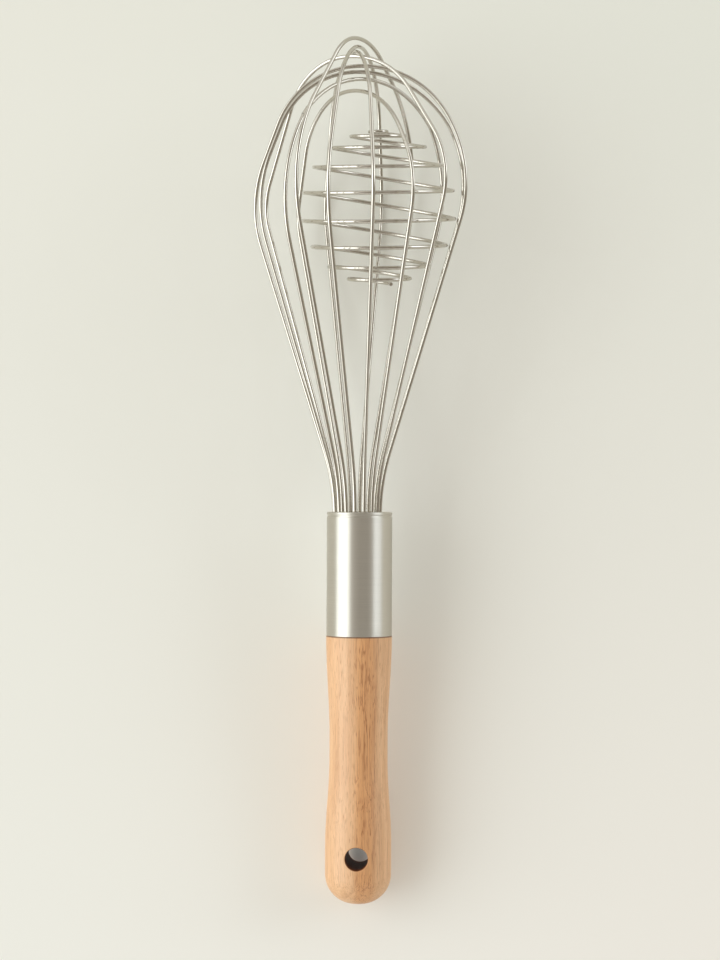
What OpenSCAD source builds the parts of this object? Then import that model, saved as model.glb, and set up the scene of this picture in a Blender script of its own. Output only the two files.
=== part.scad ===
// Balloon whisk with a loose wire ball: a turned handle, a steel ferrule, a plug that seats
// sixteen wire ends, eight nested loops of wire, and a spiral ball that rolls about in the cage.
// Millimetres. The whisk lies on a floor: its tip points along +Y, +X is to its right and +Z up.
// The origin is on the floor, below the middle of the whisk's box.

/* [Balloon] */
// Diameter of the loop wire
wire_d = 1.4; // [1.2:0.1:1.6]
// Reach of the highest loop past the mouth of the ferrule
balloon_l = 167.5; // [140:0.5:200]
// Width of the balloon at its belly, over the middles of the wires
balloon_w = 74.5; // [66:0.5:88]
// Distance of the belly from the mouth of the ferrule
belly_at = 111.5; // [92:0.5:116]
// Bend radius of a wire over the belly
shoulder_r = 46; // [40:1:55]
// Distance between the ferrule's bore and the ring on which the wire ends are seated
seat_inset = 2.65; // [2:0.05:2.8]

/* [Ball] */
// Outer diameter of the spiral ball
ball_d = 55.6; // [46:0.2:57]
// Diameter of the ball's wire
ball_wire_d = 1.4; // [1:0.1:1.6]

/* [Ferrule] */
// Outer diameter of the ferrule
ferrule_d = 23.1; // [22.6:0.1:25]
// Length of the ferrule
ferrule_l = 43.5; // [36:0.5:56]
// Wall of the ferrule
ferrule_wall = 0.8; // [0.5:0.1:1]
// Length of the plug that seats the wire ends
plug_l = 14; // [10:1:18]

/* [Handle] */
// Length of the handle outside the ferrule
handle_l = 94.4; // [80:0.1:120]
// Diameter of the handle at its waist
waist_d = 20.5; // [18:0.1:21.5]
// Diameter of the handle at its belly
grip_d = 23.3; // [22.5:0.1:26]
// Diameter of the hanging hole
hole_d = 8; // [5:0.1:9]
// Distance of the hanging hole from the end of the handle
hole_at = 17; // [14:0.5:20]

/* [Hidden] */
$fn = 96;
// Flat sides round a wire, and how far it turns from one ring of corners to the next
wire_sides = 10;
bend_step = 6;
ball_bend_step = 12;

bright_steel = [0.80, 0.79, 0.76];
brushed_steel = [0.72, 0.71, 0.68];
beech = [0.90, 0.76, 0.60];

// Fits: the plug and the tenon in the ferrule, and a wire end in its hole
press_gap = 0.05;
wire_hole_gap = 0.03;

// Mouth of the ferrule: how deep the plug lies in it, and the groove behind its rounded lip
mouth_depth = 1.5;
groove_r = 0.6;
groove_depth = 0.25;
groove_at = 1.3;
bore_r = ferrule_d / 2 - ferrule_wall;

// Wire ends: the ring of their seats lies a little left of the axis, they stop short of the
// plug's end, and from the plug's face on they bend round this corner into their flare
seat_ring_r = bore_r - seat_inset;
seat_shift = [-0.9, 0, 0];
foot_cover = 1;
foot_at = -mouth_depth - plug_l + foot_cover;
flare_corner = 10;

// The eight loops, in the order of their seats round the ring. Each row holds the lean of the
// first and the second arm from their seats in degrees, the loop's place in the stack of
// crossings below the tip, how far out each arm turns in to the crossing, and the half width,
// height and bend radius of the loop's belly as shares of the balloon's own.
seats = 16;
seat_step = 360 / seats;
seat_turn = 5.6;
loop_shapes = [
    [[3.5, -3], 6.5, [22, 22], [1, 1, 1]],
    [[13.5, 0.5], 4, [12, 23], [1.04, 1.01, 0.6]],
    [[9, -1], 12, [15, 27], [0.94, 0.98, 0.6]],
    [[10.5, -3.5], 3, [20, 27], [1, 1, 0.6]],
    [[12.5, 6.5], 1.6, [18, 27], [0.961, 1, 1.15]],
    [[6.5, 1.5], 0, [10, 8], [1.04, 1.04, 1.05]],
    [[-7.5, 1], 9.5, [17, 23], [1.01, 1, 1.1]],
    [[-4.5, 5.5], 8, [22, 22], [1, 1, 1]]
];
// The belly lies this much farther out on the right than over the axis, and its bend takes at
// most this share of the radius for which there is room below the turn-in
belly_skew = 4;
bend_share = 0.98;
crossing_gap = 0.1;
crossing_pitch = wire_d + crossing_gap;
crossing_flat = 0.5;

// Spiral ball: how its turns crowd towards its poles, how skewed they are, and how it lies
// against the wires on the lower right, a little short of the belly
ball_turns = 9;
first_turn = 4.65;
last_latitude = 105;
turn_step = 11.5;
turn_lag = 0.1;
ball_pitch = 7;
ball_gap = 1.15;
ball_turn = -34;
ball_drop = 4;

// Handle: it stands a little proud of the ferrule with an eased corner. Its waist is straight
// between these shares of its length, its belly from the third share on. The hanging hole is
// turned a little about the whisk's axis.
neck_proud = 0.05;
neck_ease = 0.35;
neck_r = ferrule_d / 2 + neck_proud;
waist_from = 0.38;
waist_to = 0.46;
grip_from = 0.78;
end_flat = 1.25;
end_r = grip_d / 2 - end_flat;
hole_turn = 3.4;
profile_steps = 12;
handle_end = -ferrule_l - handle_l;
tenon_gap = 0.1;

// Height of a loop's crossing, an arm's turn about the whisk's axis, and an arm's belly: half
// width, height and bend radius
function loop_tip(index) = balloon_l - wire_d / 2 - crossing_pitch * loop_shapes[index][1];
function arm_seat(index, side) = seat_turn + seat_step * index + 180 * side;
function arm_turn(index, side) = arm_seat(index, side) + loop_shapes[index][0][side];
function arm_belly(index, side) =
    let (
        shape = loop_shapes[index],
        half_w = balloon_w / 2 * shape[3][0],
        height = belly_at * shape[3][1] + belly_skew * cos(arm_turn(index, side)),
        inward = half_w - shape[2][side],
        rise = loop_tip(index) - height,
        room = (inward * inward + rise * rise) / (2 * inward)
    )
    [half_w, height, min(shoulder_r * shape[3][2], bend_share * room)];

// The whisk rests on the lowest of its second arms, which all point down, and on the rounded
// end of its handle. Both touch the floor at the tilt found by repeating one step of the balance.
end_centre = handle_end + end_r;
function resting_tilt(index, tilt) =
    let (
        belly = arm_belly(index, 1),
        down = -sin(arm_turn(index, 1)) * cos(tilt),
        reach = down * (belly[0] - belly[2]) + belly[2] * norm([sin(tilt), down])
    )
    asin((reach + wire_d / 2 - cos(tilt) * end_flat - end_r) / (belly[1] - end_centre));
function next_tilt(tilt) = max([for (i = [0:len(loop_shapes) - 1]) resting_tilt(i, tilt)]);
function settled(tilt, steps) = steps == 0 ? tilt : settled(next_tilt(tilt), steps - 1);
tilt = settled(6, 6);
axis_height = end_r + end_flat * cos(tilt) - end_centre * sin(tilt);
back_y = end_centre * cos(tilt) - end_flat * sin(tilt) - end_r;
tip_y = balloon_l * cos(tilt);

// Lays down a whisk that stands on its axis with its tip up and its upper side towards -Y
module lying() {
    translate([0, -(tip_y + back_y) / 2, axis_height])
        rotate([tilt - 90, 0, 0])
            children();
}

up = [0, 0, 1];
along = [0, 1, 0];
function unit(v) = v / norm(v);
function radial(turn) = [cos(turn), -sin(turn), 0];
function across(v, way) = unit(v - (v * way) * way);

// Corner of an arm over the belly, where its flare meets the line that closes to the tip.
// Both lines touch the circle of the belly's bend.
function belly_corner(belly, turn_in, tip) =
    let (
        centre = [belly[0] - belly[2], belly[1]],
        mouth = [seat_ring_r, flare_corner] - centre,
        end = [turn_in, tip] - centre,
        flare = asin(belly[2] / norm(mouth)) - atan2(mouth[0], -mouth[1]),
        closing = asin(belly[2] / norm(end)) - atan2(end[0], end[1]),
        middle = (closing - flare) / 2,
        reach = belly[2] / cos((flare + closing) / 2)
    )
    centre + reach * [cos(middle), sin(middle)];

// Corners of one arm, from its foot in the plug to its turn-in at the crossing
function arm(index, side) =
    let (
        tip = loop_tip(index),
        seat = radial(arm_seat(index, side)) * seat_ring_r + seat_shift,
        out = radial(arm_turn(index, side)),
        turn_in = loop_shapes[index][2][side],
        corner = belly_corner(arm_belly(index, side), turn_in, tip)
    )
    [
        seat + up * foot_at,
        seat + up * flare_corner,
        out * corner[0] + up * corner[1],
        out * turn_in + up * tip
    ];

function reversed(list) = [for (i = [len(list) - 1:-1:0]) list[i]];

// Where a wire passes, as [place, direction] pairs: it runs straight between its corners and
// goes round each inner corner on an arc of the given radius, a few degrees at a time
function bend_angle(a, b, c) = acos(unit(b - a) * unit(c - b));
function wire_bend(a, b, c, r) =
    let (
        way = unit(b - a),
        angle = bend_angle(a, b, c),
        inward = across(c - b, way),
        start = b - way * r * tan(angle / 2),
        steps = ceil(angle / bend_step)
    )
    [for (i = [0:steps])
        let (turned = angle * i / steps)
        [
            start + r * (sin(turned) * way + (1 - cos(turned)) * inward),
            cos(turned) * way + sin(turned) * inward
        ]
    ];
function wire_path(corners, radii) =
    let (last = len(corners) - 1)
    [
        [corners[0], unit(corners[1] - corners[0])],
        for (i = [1:last - 1])
            each wire_bend(corners[i - 1], corners[i], corners[i + 1], radii[i - 1]),
        [corners[last], unit(corners[last] - corners[last - 1])]
    ];

// Round wire along a path that stays nearly square to the given side direction
module wire(path, d, side) {
    rings = [for (stop = path)
        let (u = across(side, stop[1]), v = cross(stop[1], u))
        for (k = [0:wire_sides - 1])
            stop[0] + d / 2 * (cos(360 * k / wire_sides) * u + sin(360 * k / wire_sides) * v)];
    last = len(path) - 1;
    skin = [for (i = [0:last - 1], k = [0:wire_sides - 1])
        let (
            here = i * wire_sides + k,
            beside = i * wire_sides + (k + 1) % wire_sides
        )
        each [
            [here, here + wire_sides, beside + wire_sides],
            [here, beside + wire_sides, beside]
        ]];
    foot = [for (k = [0:wire_sides - 1]) k];
    head = [for (k = [wire_sides - 1:-1:0]) last * wire_sides + k];
    polyhedron(rings, concat(skin, [foot, head]));
}

module wire_loop(index) {
    arms = [arm(index, 0), arm(index, 1)];
    belly_r = [arm_belly(index, 0)[2], arm_belly(index, 1)[2]];
    half_crossing = norm(arms[0][3] - arms[1][3]) / 2 - crossing_flat / 2;
    mouth_r = [for (a = arms)
        (flare_corner + mouth_depth) / tan(bend_angle(a[0], a[1], a[2]) / 2)];
    crossing_r = [for (i = [0, 1])
        half_crossing / tan(bend_angle(arms[i][2], arms[i][3], arms[1 - i][3]) / 2)];
    radii = [mouth_r[0], belly_r[0], crossing_r[0], crossing_r[1], belly_r[1], mouth_r[1]];
    color(bright_steel)
        lying()
            wire(wire_path(concat(arms[0], reversed(arms[1])), radii), wire_d,
                 radial(arm_seat(index, 0) + 90));
}

// Places where the ball's wire passes its right and its left side by turns, from the top down
function latitude(turn) = last_latitude * sin(turn_step * turn);
function ball_side(i) =
    let (
        right = i % 2 == 0,
        angle = latitude(first_turn - floor(i / 2) - (right ? 0 : turn_lag))
    )
    (ball_d - ball_wire_d) / 2 * [(right ? 1 : -1) * cos(angle), sin(angle), 0];

// Half turn from one side of the ball to the next, in front and behind by turns
function half_turn(i) =
    let (
        middle = (ball_side(i) + ball_side(i + 1)) / 2,
        out = ball_side(i) - middle,
        bulge = (i % 2 == 0 ? 1 : -1) * up
    )
    [for (angle = [0:ball_bend_step:180 - ball_bend_step])
        [
            middle + cos(angle) * out + sin(angle) * norm(out) * bulge,
            cos(angle) * bulge - sin(angle) * unit(out)
        ]];

module spiral_ball() {
    offset = (balloon_w - wire_d - ball_d) / 2 - ball_gap;
    spiral = [for (i = [0:2 * ball_turns - 1]) each half_turn(i)];
    color(bright_steel)
        lying()
            translate(radial(ball_turn) * offset + up * (belly_at - ball_drop))
                rotate([90 + ball_pitch, 0, 0])
                    wire(concat(spiral, [[ball_side(2 * ball_turns), up]]), ball_wire_d, along);
}

// Drawn tube with a rounded lip at its mouth and a shallow groove behind the lip
module ferrule() {
    color(brushed_steel)
        lying()
            rotate_extrude()
                difference() {
                    union() {
                        translate([bore_r, -ferrule_l])
                            square([ferrule_wall, ferrule_l - ferrule_wall / 2]);
                        translate([bore_r + ferrule_wall / 2, -ferrule_wall / 2])
                            intersection() {
                                circle(d = ferrule_wall);
                                translate([-ferrule_wall, 0])
                                    square([2 * ferrule_wall, ferrule_wall]);
                            }
                    }
                    translate([ferrule_d / 2 + groove_r - groove_depth, -groove_at])
                        circle(r = groove_r);
                }
}

module wire_plug() {
    color(brushed_steel)
        lying()
            translate([0, 0, -mouth_depth - plug_l])
                difference() {
                    cylinder(h = plug_l, r = bore_r - press_gap);
                    for (seat = [0:seats - 1])
                        translate(radial(seat_turn + seat_step * seat) * seat_ring_r + seat_shift - up)
                            cylinder(h = plug_l + 2, d = wire_d + 2 * wire_hole_gap);
                }
}

// Radius of the turned outline at a share of the handle's length, from the ferrule down
function swell(from, to, share) = from + (to - from) * (1 - cos(180 * share)) / 2;
neck_corner = [for (angle = [90:-30:0])
    [neck_r - neck_ease * (1 - cos(angle)), -ferrule_l - neck_ease * (1 - sin(angle))]];
neck_curve = [for (i = [1:profile_steps])
    let (share = i / profile_steps)
    [swell(neck_r, waist_d / 2, share), -ferrule_l - handle_l * waist_from * share]];
grip_curve = [for (i = [0:profile_steps])
    let (share = i / profile_steps)
    [
        swell(waist_d / 2, grip_d / 2, share),
        -ferrule_l - handle_l * (waist_to + (grip_from - waist_to) * share)
    ]];

module handle() {
    tenon_top = -mouth_depth - plug_l - tenon_gap;
    tenon_r = bore_r - press_gap;
    color(beech)
        lying()
            difference() {
                rotate_extrude() {
                    polygon(reversed(concat(
                        [[0, tenon_top], [tenon_r, tenon_top], [tenon_r, -ferrule_l]],
                        neck_corner,
                        neck_curve,
                        grip_curve,
                        [[grip_d / 2, end_centre], [0, end_centre]]
                    )));
                    translate([0, handle_end])
                        square([end_flat, end_r]);
                    translate([end_flat, end_centre])
                        intersection() {
                            circle(r = end_r);
                            translate([0, -2 * end_r])
                                square(2 * end_r);
                        }
                }
                rotate([90, 0, -hole_turn])
                    translate([0, handle_end + hole_at, -grip_d])
                        cylinder(h = 2 * grip_d, d = hole_d);
            }
}

handle();
ferrule();
wire_plug();
wire_loop(0);  // wire_loop_1
wire_loop(1);  // wire_loop_2
wire_loop(2);  // wire_loop_3
wire_loop(3);  // wire_loop_4
wire_loop(4);  // wire_loop_5
wire_loop(5);  // wire_loop_6
wire_loop(6);  // wire_loop_7
wire_loop(7);  // wire_loop_8
spiral_ball();
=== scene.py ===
"""A balloon whisk with a loose spiral ball, lying on a pale table and seen from above.

The wires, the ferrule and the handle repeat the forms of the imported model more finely. Their
lengths are millimetres in the whisk's own frame, which stands on its axis: +Z runs to the tip,
+X to the right, +Y towards the table, and the origin is at the mouth of the ferrule."""

import math

import bpy
from mathutils import Matrix, Vector


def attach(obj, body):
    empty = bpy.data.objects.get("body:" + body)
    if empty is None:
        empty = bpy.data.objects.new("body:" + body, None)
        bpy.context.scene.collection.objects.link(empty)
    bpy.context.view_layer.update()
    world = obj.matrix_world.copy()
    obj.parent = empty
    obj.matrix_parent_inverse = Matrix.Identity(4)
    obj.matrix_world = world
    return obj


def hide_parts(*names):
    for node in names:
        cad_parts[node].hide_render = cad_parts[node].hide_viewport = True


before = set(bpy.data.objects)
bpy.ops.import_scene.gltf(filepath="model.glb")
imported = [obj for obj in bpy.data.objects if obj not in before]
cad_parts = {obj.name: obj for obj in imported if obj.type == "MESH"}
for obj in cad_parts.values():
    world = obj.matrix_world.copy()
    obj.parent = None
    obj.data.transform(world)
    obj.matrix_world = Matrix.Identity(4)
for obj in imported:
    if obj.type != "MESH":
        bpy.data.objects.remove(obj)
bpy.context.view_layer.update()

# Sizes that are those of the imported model
WIRE_D = 1.4
BALLOON_L = 167.5
BALLOON_W = 74.5
BELLY_AT = 111.5
BELLY_SKEW = 4
SHOULDER_R = 46
BALL_D = 55.6
FERRULE_D = 23.1
FERRULE_L = 43.5
FERRULE_WALL = 0.8
PLUG_L = 14
HANDLE_L = 94.4
WAIST_D = 20.5
GRIP_D = 23.3
HOLE_D = 8
HOLE_AT = 17

PRESS_GAP = 0.05
MOUTH_DEPTH = 1.5
GROOVE_R = 0.6
GROOVE_DEPTH = 0.25
GROOVE_AT = 1.3
BORE_R = FERRULE_D / 2 - FERRULE_WALL
SEAT_RING_R = BORE_R - 2.65
FOOT_AT = -MOUTH_DEPTH - PLUG_L + 1
FLARE_CORNER = 10
SEATS = 16
SEAT_STEP = 360 / SEATS
SEAT_TURN = 5.6
CROSSING_PITCH = WIRE_D + 0.1
CROSSING_FLAT = 0.5
# Leans of the two arms, place in the stack of crossings, how far out the arms turn in, and
# the belly's shares of the balloon's half width, height and bend radius
LOOPS = (
    ((3.5, -3), 6.5, (22, 22), (1, 1, 1)),
    ((13.5, 0.5), 4, (12, 23), (1.04, 1.01, 0.6)),
    ((9, -1), 12, (15, 27), (0.94, 0.98, 0.6)),
    ((10.5, -3.5), 3, (20, 27), (1, 1, 0.6)),
    ((12.5, 6.5), 1.6, (18, 27), (0.961, 1, 1.15)),
    ((6.5, 1.5), 0, (10, 8), (1.04, 1.04, 1.05)),
    ((-7.5, 1), 9.5, (17, 23), (1.01, 1, 1.1)),
    ((-4.5, 5.5), 8, (22, 22), (1, 1, 1)),
)
BALL_TURNS = 9
FIRST_TURN = 4.65
LAST_LATITUDE = 105
TURN_STEP = 11.5
TURN_LAG = 0.1
BALL_PITCH = 7
BALL_OFFSET = (BALLOON_W - WIRE_D - BALL_D) / 2 - 1.15
BALL_TURN = -34
BALL_HEIGHT = BELLY_AT - 4
NECK_R = FERRULE_D / 2 + 0.05
NECK_EASE = 0.35
WAIST_FROM = 0.38
WAIST_TO = 0.46
GRIP_FROM = 0.78
END_FLAT = 1.25
END_R = GRIP_D / 2 - END_FLAT
HANDLE_END = -FERRULE_L - HANDLE_L
END_CENTRE = HANDLE_END + END_R
HOLE_TURN = 3.4
TENON_TOP = -MOUTH_DEPTH - PLUG_L - 0.1

# How the whisk lies: its axis rises towards the tip by this tilt
TILT = math.radians(5.7832)
AXIS_HEIGHT = 24.4911
AXIS_SHIFT = -14.6352
MM = 0.001

UP = Vector((0, 0, 1))
ALONG = Vector((0, 1, 0))
SEAT_SHIFT = Vector((-0.9, 0, 0))


def lying():
    """Turns and moves the whisk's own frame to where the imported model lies, in metres."""
    rise, run = math.sin(TILT), math.cos(TILT)
    return Matrix((
        (1, 0, 0, 0),
        (0, rise, run, AXIS_SHIFT * MM),
        (0, -run, rise, AXIS_HEIGHT * MM),
        (0, 0, 0, 1),
    ))


def on_table(point):
    """A point of the whisk's own frame, in millimetres, as a place in the scene in metres."""
    return lying() @ (Vector(point) * MM)


# Meshes


def piece(name, points, faces, uvs, material, body, node, slot):
    """A smooth mesh, given in the whisk's own frame, that stands for one CAD node."""
    mesh = bpy.data.meshes.new(name)
    mesh.from_pydata([on_table(p) for p in points], [], faces)
    layer = mesh.uv_layers.new(name="around")
    for polygon in mesh.polygons:
        polygon.use_smooth = True
        for loop, uv in zip(polygon.loop_indices, uvs[polygon.index]):
            layer.data[loop].uv = uv
    mesh.set_sharp_from_angle(angle=math.radians(38))
    mesh.materials.append(material)
    made = bpy.data.objects.new(name, mesh)
    bpy.context.scene.collection.objects.link(made)
    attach(made, body)
    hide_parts(node)
    return made


def sheet_of_rings(rings, lengths, width):
    """Quads between closed rings of points, with how far round and along they lie, in mm."""
    sides = len(rings[0])
    points = [p for ring in rings for p in ring]
    faces, uvs = [], []
    for i in range(len(rings) - 1):
        for k in range(sides):
            here, beside = i * sides + k, i * sides + (k + 1) % sides
            faces.append((here, beside, beside + sides, here + sides))
            left, right = width * k / sides, width * (k + 1) / sides
            near, far = lengths[i], lengths[i + 1]
            uvs.append(((left, near), (right, near), (right, far), (left, far)))
    return points, faces, uvs


def closed_ends(points, faces, uvs, sides):
    """Adds a flat face over the first and the last ring."""
    foot = tuple(reversed(range(sides)))
    head = tuple(range(len(points) - sides, len(points)))
    for cap in (foot, head):
        faces.append(cap)
        uvs.append(tuple((0, 0) for _ in cap))


WIRE_SIDES = 20
BEND_STEP = 2
END_EASE = 0.2


def across(v, way):
    return (v - v.dot(way) * way).normalized()


def wire(path, d, side):
    """Round wire along [place, direction] pairs, with eased cut ends."""
    start, first_way = path[0]
    end, last_way = path[-1]
    stops = [
        (start, first_way, 1 - END_EASE),
        (start + first_way * END_EASE * d / 2, first_way, 1),
        *[(place, way, 1) for place, way in path[1:-1]],
        (end - last_way * END_EASE * d / 2, last_way, 1),
        (end, last_way, 1 - END_EASE),
    ]
    rings, lengths, run = [], [], 0
    for i, (place, way, share) in enumerate(stops):
        u = across(side, way)
        v = way.cross(u)
        run += (place - stops[i - 1][0]).length if i else 0
        lengths.append(run)
        rings.append([
            place + share * d / 2 * (math.cos(a) * u + math.sin(a) * v)
            for a in (math.tau * k / WIRE_SIDES for k in range(WIRE_SIDES))
        ])
    points, faces, uvs = sheet_of_rings(rings, lengths, math.pi * d)
    closed_ends(points, faces, uvs, WIRE_SIDES)
    return points, faces, uvs


# Loops


def radial(turn):
    return Vector((math.cos(math.radians(turn)), -math.sin(math.radians(turn)), 0))


def belly_corner(belly, turn_in, tip):
    """Where an arm's flare meets the line that closes to the tip: distance out and height."""
    half_w, height, r = belly
    centre = (half_w - r, height)
    mouth = (SEAT_RING_R - centre[0], FLARE_CORNER - centre[1])
    end = (turn_in - centre[0], tip - centre[1])
    flare = math.asin(r / math.hypot(*mouth)) - math.atan2(mouth[0], -mouth[1])
    closing = math.asin(r / math.hypot(*end)) - math.atan2(end[0], end[1])
    middle = (closing - flare) / 2
    reach = r / math.cos((flare + closing) / 2)
    return centre[0] + reach * math.cos(middle), centre[1] + reach * math.sin(middle)


def arm(index, side, tip):
    leans, _, turn_ins, shares = LOOPS[index]
    seat_turn = SEAT_TURN + SEAT_STEP * index + 180 * side
    seat = radial(seat_turn) * SEAT_RING_R + SEAT_SHIFT
    out = radial(seat_turn + leans[side])
    height = BELLY_AT * shares[1] + BELLY_SKEW * out.x
    belly = (BALLOON_W / 2 * shares[0], height, SHOULDER_R * shares[2])
    corner = belly_corner(belly, turn_ins[side], tip)
    return [
        seat + UP * FOOT_AT,
        seat + UP * FLARE_CORNER,
        out * corner[0] + UP * corner[1],
        out * turn_ins[side] + UP * tip,
    ]


def bend_angle(a, b, c):
    return (b - a).angle(c - b)


def wire_bend(a, b, c, r):
    way = (b - a).normalized()
    angle = bend_angle(a, b, c)
    inward = across(c - b, way)
    start = b - way * r * math.tan(angle / 2)
    steps = math.ceil(math.degrees(angle) / BEND_STEP)
    for i in range(steps + 1):
        turned = angle * i / steps
        s, k = math.sin(turned), math.cos(turned)
        yield start + r * (s * way + (1 - k) * inward), k * way + s * inward


def wire_path(corners, radii):
    path = [(corners[0], (corners[1] - corners[0]).normalized())]
    for i in range(1, len(corners) - 1):
        path.extend(wire_bend(corners[i - 1], corners[i], corners[i + 1], radii[i - 1]))
    path.append((corners[-1], (corners[-1] - corners[-2]).normalized()))
    return path


def wire_loop(index):
    _, place, _, shares = LOOPS[index]
    tip = BALLOON_L - WIRE_D / 2 - CROSSING_PITCH * place
    first, second = arm(index, 0, tip), arm(index, 1, tip)
    half_crossing = (first[3] - second[3]).length / 2 - CROSSING_FLAT / 2
    mouth_r = [
        (FLARE_CORNER + MOUTH_DEPTH) / math.tan(bend_angle(*corners[:3]) / 2)
        for corners in (first, second)
    ]
    crossing_r = [
        half_crossing / math.tan(bend_angle(a[2], a[3], b[3]) / 2)
        for a, b in ((first, second), (second, first))
    ]
    belly_r = SHOULDER_R * shares[2]
    radii = [mouth_r[0], belly_r, *crossing_r, belly_r, mouth_r[1]]
    side = radial(SEAT_TURN + SEAT_STEP * index + 90)
    return wire(wire_path(first + second[::-1], radii), WIRE_D, side)


# Ball

BALL_BEND_STEP = 4


def ball_side(i):
    """Where the ball's wire passes its right side, for an even i, or its left side."""
    right = i % 2 == 0
    turn = FIRST_TURN - i // 2 - (0 if right else TURN_LAG)
    angle = math.radians(LAST_LATITUDE * math.sin(math.radians(TURN_STEP * turn)))
    return (BALL_D - WIRE_D) / 2 * Vector(
        ((1 if right else -1) * math.cos(angle), math.sin(angle), 0))


def spiral_ball():
    path = []
    for i in range(2 * BALL_TURNS):
        middle = (ball_side(i) + ball_side(i + 1)) / 2
        out = ball_side(i) - middle
        bulge = UP if i % 2 == 0 else -UP
        for degrees in range(0, 180, BALL_BEND_STEP):
            s, k = math.sin(math.radians(degrees)), math.cos(math.radians(degrees))
            path.append((middle + k * out + s * out.length * bulge,
                         k * bulge - s * out.normalized()))
    path.append((ball_side(2 * BALL_TURNS), UP))
    stand = Matrix.Rotation(math.radians(90 + BALL_PITCH), 3, "X")
    middle = radial(BALL_TURN) * BALL_OFFSET + UP * BALL_HEIGHT
    path = [(middle + stand @ place, stand @ way) for place, way in path]
    return wire(path, WIRE_D, stand @ ALONG)


# Turned pieces

LATHE_SIDES = 160


def lathe(profile):
    """Closed solid of revolution from [radius, height] pairs that run round the section."""
    rings, lengths, run = [], [], 0
    loop = [*profile, profile[0]]
    for i, (r, z) in enumerate(loop):
        run += math.dist(loop[i], loop[i - 1]) if i else 0
        lengths.append(run)
        rings.append([
            Vector((r * math.cos(a), r * math.sin(a), z))
            for a in (math.tau * k / LATHE_SIDES for k in range(LATHE_SIDES))
        ])
    points, faces, uvs = sheet_of_rings(rings, lengths, math.tau * FERRULE_D / 2)
    last = len(profile) * LATHE_SIDES
    faces = [tuple(p - last if p >= last else p for p in face) for face in faces]
    return points[:last], faces, uvs


def arc(centre, r, start, stop, steps):
    """[radius, height] pairs on a quarter or so of a circle, from one angle to another."""
    for i in range(steps + 1):
        a = math.radians(start + (stop - start) * i / steps)
        yield centre[0] + r * math.cos(a), centre[1] + r * math.sin(a)


def ferrule():
    """Tube with a rounded lip at its mouth, a shallow groove behind it and an eased foot."""
    outer_r = FERRULE_D / 2
    lip_r = FERRULE_WALL / 2
    groove = (outer_r + GROOVE_R - GROOVE_DEPTH, -GROOVE_AT)
    reach = math.degrees(math.acos((GROOVE_R - GROOVE_DEPTH) / GROOVE_R))
    ease = 0.12
    body = [(outer_r, -FERRULE_L * share / 12) for share in range(1, 12)]
    return lathe([
        *reversed([(BORE_R, z) for _, z in body]),
        *arc((BORE_R + lip_r, -lip_r), lip_r, 180, 0, 14),
        *arc(groove, GROOVE_R, 180 - reach, 180 + reach, 10),
        *body,
        *arc((outer_r - ease, -FERRULE_L + ease), ease, 0, -90, 4),
        (BORE_R + 0.02, -FERRULE_L),
    ])


# Handle

HOLE_COLUMNS = 12
HOLE_ROWS = 12
HOLE_REACH = 5.6
HOLE_EASE = 0.45
SKIN_SHARES = (0.2, 0.4, 0.6, 0.78, 0.9, 1)
EASE_SHARES = (0.17, 0.33, 0.5, 0.67, 0.83, 1)
ROW_STEP = 1


def swell(start, stop, share):
    return start + (stop - start) * (1 - math.cos(math.pi * share)) / 2


def handle_r(z):
    """Radius of the turned outline at a height below the ferrule."""
    share = (-FERRULE_L - z) / HANDLE_L
    if z < END_CENTRE:
        return END_FLAT + math.sqrt(max(0, END_R**2 - (END_CENTRE - z) ** 2))
    if share < WAIST_FROM:
        return swell(NECK_R, WAIST_D / 2, share / WAIST_FROM)
    if share < WAIST_TO:
        return WAIST_D / 2
    return swell(WAIST_D / 2, GRIP_D / 2, min(1, (share - WAIST_TO) / (GRIP_FROM - WAIST_TO)))


def evenly(start, stop, step):
    count = max(1, round(abs(stop - start) / step))
    return [start + (stop - start) * i / count for i in range(count)]


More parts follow.
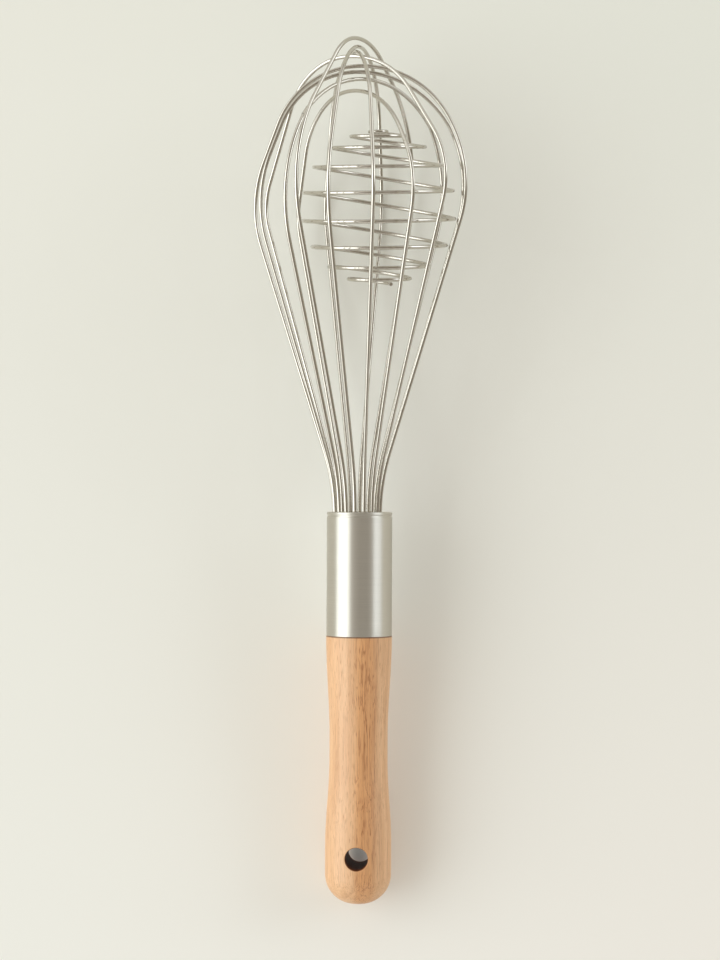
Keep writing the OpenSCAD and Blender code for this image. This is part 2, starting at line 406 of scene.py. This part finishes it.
def handle():
    """Turned handle whose hanging hole goes through it with rounded edges."""
    hole_z = HANDLE_END + HOLE_AT
    hole_top, hole_foot = hole_z + HOLE_REACH, hole_z - HOLE_REACH
    shoulder = -FERRULE_L - NECK_EASE
    outline = [
        *[(BORE_R - PRESS_GAP, z) for z in evenly(TENON_TOP, -FERRULE_L, 4)],
        (BORE_R - PRESS_GAP, -FERRULE_L),
        *arc((handle_r(-FERRULE_L) - NECK_EASE, shoulder), NECK_EASE, 90, 0, 5),
        *[(handle_r(z), z) for z in evenly(shoulder - ROW_STEP / 2, hole_top, ROW_STEP)],
        *[(handle_r(z), z) for z in evenly(hole_top, hole_foot, 2 * HOLE_REACH / (2 * HOLE_ROWS))],
    ]
    first_row = len(outline) - 2 * HOLE_ROWS
    last_row = len(outline)
    foot_angle = math.degrees(math.asin((END_CENTRE - hole_foot) / END_R))
    outline += list(arc((END_FLAT, END_CENTRE), END_R, -foot_angle, -90, 24))
    columns = LATHE_SIDES
    front = math.radians(-90 - HOLE_TURN)

    def spot(column, row):
        r, z = outline[row]
        a = front + math.tau * column / columns
        return Vector((r * math.cos(a), r * math.sin(a), z))

    points = [spot(c, row) for row in range(len(outline)) for c in range(columns)]
    faces, uvs = [], []

    def number(column, row):
        return row * columns + column % columns

    def flat(p):
        """Place of a point round the axis and along it, for the pattern."""
        a = math.atan2(p[1], p[0])
        return GRIP_D / 2 * a, p[2]

    def add(corners):
        faces.append(tuple(corners))
        spots = [flat(points[c]) for c in corners]
        wide = math.tau * GRIP_D / 2
        uvs.append([(u + wide if u < spots[0][0] - wide / 2
                     else u - wide if u > spots[0][0] + wide / 2 else u, v) for u, v in spots])

    for row in range(len(outline) - 1):
        for c in range(columns):
            beside = min(c, columns - 1 - c)
            opposite = abs(c + 0.5 - columns / 2)
            holed = first_row <= row < last_row
            if holed and (beside < HOLE_COLUMNS or opposite < HOLE_COLUMNS):
                continue
            add((number(c, row), number(c, row + 1), number(c + 1, row + 1), number(c + 1, row)))
    add(number(c, 0) for c in range(columns))
    add(number(c, len(outline) - 1) for c in reversed(range(columns)))

    def rim(middle):
        """Corners round the gap that is left for the hole, seen from outside."""
        m, top, foot = HOLE_COLUMNS, first_row, last_row
        ring = [number(middle + c, top) for c in range(-m, m)]
        ring += [number(middle + m, row) for row in range(top, foot)]
        ring += [number(middle + c, foot) for c in range(m, -m, -1)]
        ring += [number(middle - m, row) for row in range(foot, top, -1)]
        return ring

    side = Vector((math.cos(front + math.pi / 2), math.sin(front + math.pi / 2), 0))
    out = Vector((math.cos(front), math.sin(front), 0))
    bore = HOLE_D / 2
    bores = []
    for middle, way in ((0, 1), (columns // 2, -1)):
        # Both mouths are listed by their angle, so that the bore joins them in order
        corner_at = {
            round(math.atan2(points[i][2] - hole_z, points[i].dot(side)), 6): i
            for i in rim(middle)}
        ring = [corner_at[angle] for angle in sorted(corner_at, reverse=True)]
        spans = [(points[i].dot(side), points[i][2] - hole_z) for i in ring]

        def on_skin(p, q):
            height = math.sqrt(handle_r(hole_z + q) ** 2 - p * p)
            return side * p + UP * (hole_z + q) + out * way * height

        previous = ring
        rows = []
        for share in SKIN_SHARES:
            row = []
            for p, q in spans:
                far = math.hypot(p, q)
                near = (far + (bore + HOLE_EASE - far) * share) / far
                row.append(on_skin(p * near, q * near))
            rows.append(row)
        for t in EASE_SHARES:
            row = []
            for p, q in spans:
                far = math.hypot(p, q)
                p, q = p / far, q / far
                begin = on_skin(p * (bore + HOLE_EASE), q * (bore + HOLE_EASE))
                corner = on_skin(p * bore, q * bore)
                end = corner - out * way * HOLE_EASE
                row.append(begin * (1 - t) ** 2 + corner * 2 * t * (1 - t) + end * t * t)
            rows.append(row)
        for row in rows:
            start = len(points)
            points.extend(row)
            fresh = list(range(start, start + len(row)))
            join_rings(add, previous, fresh, way > 0)
            previous = fresh
        bores.append(previous)
    join_rings(add, bores[0], bores[1], True)
    return points, faces, uvs


def join_rings(add, outer, inner, forward):
    """Quads between two rings of as many corners, facing outward or the other way."""
    count = len(outer)
    for k in range(count):
        n = (k + 1) % count
        quad = (outer[k], outer[n], inner[n], inner[k])
        add(quad if forward else quad[::-1])


# Materials


def node(tree, kind, inputs=None, **settings):
    """Adds a node. An input that is a socket is linked, any other is set."""
    made = tree.nodes.new("ShaderNode" + kind)
    for key, value in settings.items():
        setattr(made, key, value)
    for socket, value in (inputs or {}).items():
        if isinstance(value, bpy.types.NodeSocket):
            tree.links.new(value, made.inputs[socket])
        else:
            made.inputs[socket].default_value = value
    return made


def maths(tree, operation, *values):
    made = node(tree, "Math", dict(enumerate(values)), operation=operation)
    return made.outputs[0]


def mixed(tree, share, a, b, blend="MIX"):
    made = node(tree, "Mix", {0: share, 6: a, 7: b}, data_type="RGBA", blend_type=blend)
    return made.outputs[2]


def ramp(tree, factor, stops, smooth=False):
    """Colours, or grey levels, at places from 0 to 1."""
    made = node(tree, "ValToRGB", {0: factor})
    made.color_ramp.interpolation = "EASE" if smooth else "LINEAR"
    elements = made.color_ramp.elements
    while len(elements) < len(stops):
        elements.new(0.5)
    for element, (place, colour) in zip(elements, stops):
        element.position = place
        element.color = (*colour, 1) if isinstance(colour, tuple) else (colour,) * 3 + (1,)
    return made.outputs[0]


def noise(tree, vector, scale, detail=2, roughness=0.5):
    made = node(tree, "TexNoise", {
        "Vector": vector, "Scale": scale, "Detail": detail, "Roughness": roughness})
    return made.outputs[0]


def stretched(tree, vector, scale, place=(0, 0, 0)):
    made = node(tree, "Mapping", {"Vector": vector, "Scale": scale, "Location": place})
    return made.outputs[0]


def linear(*rgb):
    """A colour that is written as it looks, 0 to 255, as the shaders want it."""
    return tuple(c / 255 / 12.92 if c <= 10 else ((c / 255 + 0.055) / 1.055) ** 2.4 for c in rgb)


def material(name):
    made = bpy.data.materials.new(name)
    made.use_nodes = True
    made.node_tree.nodes.clear()
    return made, made.node_tree


def finished(tree, shader):
    output = tree.nodes.new("ShaderNodeOutputMaterial")
    tree.links.new(shader.outputs[0], output.inputs["Surface"])


def bumped(tree, height, strength, distance):
    made = node(tree, "Bump", {"Height": height, "Strength": strength, "Distance": distance})
    return made.outputs[0]


# Distances from the hanging hole's axis, in mm, where the painted shade on its wall begins and
# where it is full
HOLE_SHADE_FROM, HOLE_SHADE_TO = HOLE_D / 2 + 0.22, HOLE_D / 2 + 0.02


def painted_hole_shade(tree, in_mm):
    """How far a place is on the wall of the hanging hole, where the wood is painted dark as
    painted shade.
    """
    turn = math.radians(HOLE_TURN)
    x, y, z = node(tree, "SeparateXYZ", {0: in_mm}).outputs
    sideways = maths(tree, "ADD", maths(tree, "MULTIPLY", x, math.cos(turn)),
                     maths(tree, "MULTIPLY", y, -math.sin(turn)))
    upward = maths(tree, "SUBTRACT", z, HANDLE_END + HOLE_AT)
    away = maths(tree, "SQRT", maths(
        tree, "ADD", maths(tree, "MULTIPLY", sideways, sideways),
        maths(tree, "MULTIPLY", upward, upward)))
    return node(tree, "MapRange", {
        0: away, 1: HOLE_SHADE_FROM, 2: HOLE_SHADE_TO, 3: 0, 4: 1}).outputs[0]


PITH = (-26, -34)
RING_PITCH = 3.1
DARK_STRIPE_AT = 2.2


def beech():
    """Warm beech: growth lines along the handle, a darker stripe down the middle that is partly
    heartwood and partly painted shade, fibres and short flecks, and painted shade at the ferrule
    and in the hole.
    """
    made, tree = material("beech_wood")
    place = node(tree, "TexCoord").outputs["Object"]
    upright = node(tree, "Mapping", {
        "Vector": place, "Location": (0, AXIS_SHIFT * MM, AXIS_HEIGHT * MM),
        "Rotation": (TILT - math.pi / 2, 0, 0)}, vector_type="TEXTURE").outputs[0]
    in_mm = stretched(tree, upright, (1000, 1000, 1000))
    drift = noise(tree, stretched(tree, in_mm, (0.09, 0.09, 0.016)), 1, 3)
    drift = maths(tree, "MULTIPLY", maths(tree, "SUBTRACT", drift, 0.5), 7)
    split = node(tree, "SeparateXYZ", {0: in_mm})
    ring_x = maths(tree, "ADD", split.outputs[0], -PITH[0])
    ring_y = maths(tree, "ADD", split.outputs[1], -PITH[1])
    from_pith = maths(tree, "SQRT", maths(
        tree, "ADD", maths(tree, "MULTIPLY", ring_x, ring_x),
        maths(tree, "MULTIPLY", ring_y, ring_y)))
    from_pith = maths(tree, "ADD", from_pith, drift)
    rings = maths(tree, "FRACT", maths(tree, "DIVIDE", from_pith, RING_PITCH))
    growth = ramp(tree, rings, ((0, 0.15), (0.45, 0.3), (0.8, 0.75), (0.93, 1), (1, 0.15)))
    patchy = noise(tree, stretched(tree, in_mm, (0.22, 0.22, 0.02), (3, 8, 1)), 1, 2)
    growth = maths(tree, "MULTIPLY", growth, ramp(tree, patchy, ((0.35, 0.15), (0.65, 1))))
    fibres = noise(tree, stretched(tree, in_mm, (5, 5, 0.09)), 1, 4, 0.6)
    broad = noise(tree, stretched(tree, in_mm, (0.5, 0.5, 0.014), (9, 2, 4)), 1, 3)
    flecks = noise(tree, stretched(tree, in_mm, (3.4, 3.4, 0.24), (1, 5, 7)), 1, 1)
    flecks = ramp(tree, flecks, ((0.63, 0.0), (0.7, 1.0)))

    pale, warm, heart_and_painted_shade = linear(233, 188, 143), linear(223, 175, 129), linear(214, 150, 92)
    colour = mixed(tree, ramp(tree, broad, ((0.32, 0.0), (0.7, 1.0))), (*pale, 1), (*warm, 1))
    # A darker, more orange stripe along the middle of the handle: partly heartwood, partly painted
    # shade of the side that the window lights less
    from_dark_stripe = maths(tree, "ABSOLUTE", maths(tree, "ADD", maths(
        tree, "MULTIPLY_ADD", drift, 0.5, split.outputs[0]), -DARK_STRIPE_AT))
    in_dark_stripe = ramp(tree, maths(tree, "DIVIDE", from_dark_stripe, 10), ((0.16, 1), (0.5, 0)), True)
    colour = mixed(tree, maths(tree, "MULTIPLY", in_dark_stripe, 0.6), colour, (*heart_and_painted_shade, 1))
    line = (*linear(160, 94, 48), 1)
    colour = mixed(tree, maths(tree, "MULTIPLY", growth, 0.36), colour, line)
    waves = noise(tree, stretched(tree, in_mm, (0.75, 0.75, 0.028), (2, 6, 3)), 1, 3, 0.55)
    waves = ramp(tree, maths(tree, "ABSOLUTE", maths(tree, "ADD", waves, -0.5)),
                 ((0.004, 1), (0.022, 0)))
    waves = maths(tree, "MULTIPLY", waves, maths(tree, "MULTIPLY_ADD", in_dark_stripe, 0.4, 0.25))
    colour = mixed(tree, waves, colour, (*linear(140, 78, 38), 1))
    tone = ramp(tree, fibres, ((0.3, 0.86), (0.7, 1.08)))
    colour = mixed(tree, 1, colour, tone, "MULTIPLY")
    colour = mixed(tree, maths(tree, "MULTIPLY", flecks, 0.4), colour, (*linear(152, 84, 38), 1))
    # Painted shade: the wood at the ferrule's edge is painted dark, where the gap between the two
    # parts lies in shade
    painted_joint_shade = node(tree, "MapRange", {
        0: split.outputs[2], 1: -FERRULE_L - 0.55, 2: -FERRULE_L - 0.3, 3: 0, 4: 0.75}).outputs[0]
    colour = mixed(tree, painted_joint_shade, colour, (*linear(92, 58, 34), 1))
    # Painted shade: the wall of the hanging hole is painted dark brown and its specular level is
    # lowered
    in_hole_shade = painted_hole_shade(tree, in_mm)
    colour = mixed(tree, in_hole_shade, colour, (*linear(112, 60, 26), 1))

    roughness = ramp(tree, fibres, ((0.3, 0.38), (0.7, 0.48)))
    height = maths(tree, "SUBTRACT", fibres, maths(tree, "MULTIPLY", flecks, 0.6))
    shader = node(tree, "BsdfPrincipled", {
        "Base Color": colour, "Roughness": roughness, "IOR": 1.52,
        "Specular IOR Level": maths(tree, "MULTIPLY_ADD", in_hole_shade, -0.46, 0.5),
        "Normal": bumped(tree, height, 0.35, 0.0001)})
    finished(tree, shader)
    return made


def steel(name, colour, roughness, anisotropy, brush, specks):
    """Bright steel. The brush is the share of its fine lines round and along the UV map."""
    made, tree = material(name)
    uv = node(tree, "UVMap", uv_map="around").outputs[0]
    lines = noise(tree, stretched(tree, uv, (brush[0], brush[1], 1)), 1, 4, 0.7)
    smears = noise(tree, stretched(tree, uv, (0.12, 0.12, 1), (5, 3, 0)), 1, 3)
    tone = ramp(tree, lines, ((0.25, 0.9), (0.75, 1.06)))
    base = mixed(tree, 1, (*colour, 1), tone, "MULTIPLY")
    if specks:
        spots = noise(tree, stretched(tree, uv, (1.1, 1.1, 1), (2, 9, 0)), 1, 2)
        spots = ramp(tree, spots, ((0.71, 0.0), (0.76, 1.0)))
        base = mixed(tree, maths(tree, "MULTIPLY", spots, specks), base,
                     (*linear(92, 80, 66), 1))
    low, high = roughness
    rough = maths(tree, "ADD", ramp(tree, lines, ((0.25, low), (0.75, high))),
                  maths(tree, "MULTIPLY", smears, 0.05))
    tangent = node(tree, "Tangent", direction_type="UV_MAP", uv_map="around").outputs[0]
    shader = node(tree, "BsdfPrincipled", {
        "Base Color": base, "Metallic": 1, "Roughness": rough, "Anisotropic": anisotropy,
        "Anisotropic Rotation": 0.25, "Tangent": tangent,
        "Normal": bumped(tree, lines, 0.06, 0.00001)})
    finished(tree, shader)
    return made


# Room and camera


TABLE_SIZE = 12
TABLE_GLOW = 0.11


def floor():
    """Pale smooth table top, painted a little lighter on the left and near the handle as painted
    light from the left. It glows weakly, which lightens the shadows."""
    made, tree = material("table_top")
    place = node(tree, "TexCoord").outputs["Object"]
    split = node(tree, "SeparateXYZ", {0: place})
    painted_falloff_across = node(tree, "MapRange", {
        0: split.outputs[0], 1: -0.13, 2: 0.13, 3: 0, 4: 1}).outputs[0]
    painted_falloff_along = node(tree, "MapRange", {
        0: split.outputs[1], 1: -0.17, 2: 0.17, 3: 0, 4: 1}).outputs[0]
    # Painted light: the colour is lighter towards the left and the handle end, and darker towards
    # the upper right
    low = mixed(tree, painted_falloff_across, (*linear(240, 238, 229), 1), (*linear(237, 232, 223), 1))
    high = mixed(tree, painted_falloff_across, (*linear(235, 233, 222), 1), (*linear(229, 228, 217), 1))
    colour = mixed(tree, painted_falloff_along, low, high)
    shader = node(tree, "BsdfPrincipled", {
        "Base Color": mixed(tree, 1, colour, (0.9, 0.9, 0.9, 1), "MULTIPLY"),
        "Roughness": 0.9, "IOR": 1.2, "Emission Color": colour, "Emission Strength": TABLE_GLOW})
    finished(tree, shader)
    bpy.ops.mesh.primitive_grid_add(x_subdivisions=4, y_subdivisions=4, size=TABLE_SIZE)
    table = bpy.context.active_object
    table.name = "table"
    table.data.materials.append(made)


def room():
    """Light from all round: a wide window on the left, a cooler one on the right towards the
    tip, and a dark rig above the table. The camera sees plain pale paint instead."""
    world = bpy.data.worlds.new("room")
    world.use_nodes = True
    tree = world.node_tree
    tree.nodes.clear()
    way = node(tree, "TexCoord").outputs["Generated"]
    x, y, z = node(tree, "SeparateXYZ", {0: way}).outputs
    lean = maths(tree, "DIVIDE", maths(tree, "ARCTAN2", x, z), math.pi)
    lean = maths(tree, "MULTIPLY_ADD", lean, 0.5, 0.5)
    brightest = 5
    window, window_edge = (3.22, 3.42, 3.52), (2.72, 2.84, 2.84)
    wall, dim = (0.94, 0.94, 0.92), (0.62, 0.59, 0.54)
    dark, darkest = (0.4, 0.36, 0.31), (0.3, 0.265, 0.22)
    cool, shade = (3.7, 4.0, 4.3), (0.28, 0.26, 0.23)
    plain, low_plain = (1.36, 1.39, 1.37), (0.7, 0.7, 0.68)
    # Where the lights begin and end, in degrees
    window_reach, cool_from, cool_to = (26, 42), (0, 14), (48, 62)
    ends_from, ends_low, ends_share = (42, 52), (68, 76), 0.7

    def level(colour):
        return (*(c / brightest for c in colour), 1)

    def bands(left, left_edge, right):
        """Colours by how many degrees a direction leans to the right."""
        stops = (
            (-120, left), (-50, left), (-39, left_edge), (-30, dim), (-14, dark), (-3, dark),
            (4, darkest), (13, dark), (24, darkest), (46, dark), (58, right), (83, right),
            (97, shade), (120, shade),
        )
        return ramp(tree, lean, [
            ((degrees + 180) / 360, level(colour)[:3]) for degrees, colour in stops])

    def between(value, low, high):
        return node(tree, "MapRange", {
            0: value, 1: math.radians(low), 2: math.radians(high), 3: 0, 4: 1}).outputs[0]

    towards_tip = maths(tree, "ARCTAN2", y, x)
    cool_share = maths(
        tree, "SUBTRACT", between(towards_tip, *cool_from), between(towards_tip, *cool_to))
    off_left = maths(tree, "ABSOLUTE", maths(tree, "ARCTAN2", y, maths(tree, "MULTIPLY", x, -1)))
    light = mixed(tree, cool_share, bands(window, window_edge, shade),
                  bands(window, window_edge, cool))
    light = mixed(tree, between(off_left, *window_reach), light,
                  mixed(tree, cool_share, bands(wall, wall, shade), bands(wall, wall, cool)))
    sideways = maths(tree, "ABSOLUTE", maths(tree, "ARCTAN2", y, z))
    end_light = mixed(tree, between(sideways, *ends_low), level(plain), level(low_plain))
    end_share = maths(tree, "MULTIPLY", between(sideways, *ends_from), ends_share)
    light = mixed(tree, end_share, light, end_light)
    light = node(tree, "Background", {"Color": light, "Strength": brightest})
    paint = node(tree, "Background", {"Color": (*linear(231, 229, 218), 1), "Strength": 1})
    seen = node(tree, "LightPath").outputs["Is Camera Ray"]
    shader = node(tree, "MixShader", {0: seen, 1: light.outputs[0], 2: paint.outputs[0]})
    output = tree.nodes.new("ShaderNodeOutputWorld")
    tree.links.new(shader.outputs[0], output.inputs["Surface"])
    bpy.context.scene.world = world


def camera():
    """Above the whisk and square to its tilted axis, with the tip at the top of the picture."""
    distance, picture_height = 900, 338.5
    middle, column_shift, roll = 11.28, 0.09, math.radians(0.25)
    data = bpy.data.cameras.new("camera")
    data.sensor_fit = "VERTICAL"
    data.sensor_height = 24
    data.lens = 24 * distance / picture_height
    eye = bpy.data.objects.new("camera", data)
    bpy.context.scene.collection.objects.link(eye)
    back = lying().to_3x3() @ Vector((0, -1, 0))
    top = lying().to_3x3() @ UP
    right = top.cross(back)
    spot = on_table((column_shift, 0, middle)) + back * distance * MM
    turn = Matrix((right, top, back)).transposed() @ Matrix.Rotation(roll, 3, "Z")
    eye.matrix_world = Matrix.Translation(spot) @ turn.to_4x4()
    bpy.context.scene.camera = eye


# All together

wire_steel = steel(
    "wire_steel_bright", linear(198, 192, 181), roughness=(0.08, 0.13), anisotropy=0,
    brush=(6, 0.25), specks=0.6)
ferrule_steel = steel(
    "ferrule_steel_brushed", linear(214, 209, 198), roughness=(0.37, 0.41), anisotropy=0.97,
    brush=(0.06, 9), specks=0)
plug_steel = steel(
    "plug_steel_satin", linear(190, 186, 178), roughness=(0.4, 0.5), anisotropy=0,
    brush=(1, 1), specks=0)

for number in range(len(LOOPS)):
    name = f"wire_loop_{number + 1}"
    piece(f"{name}_bright", *wire_loop(number), wire_steel, "whisk", name, "wire_steel")
piece("spiral_ball_bright", *spiral_ball(), wire_steel, "ball", "spiral_ball", "wire_steel")
piece("ferrule_brushed", *ferrule(), ferrule_steel, "whisk", "ferrule", "ferrule_steel")
piece("handle_beech", *handle(), beech(), "whisk", "handle", "beech")

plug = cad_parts["wire_plug"]
plug.data.uv_layers.new(name="around")
plug.data.materials.clear()
plug.data.materials.append(plug_steel)

floor()
room()
camera()
bpy.context.scene.view_settings.view_transform = "Standard"
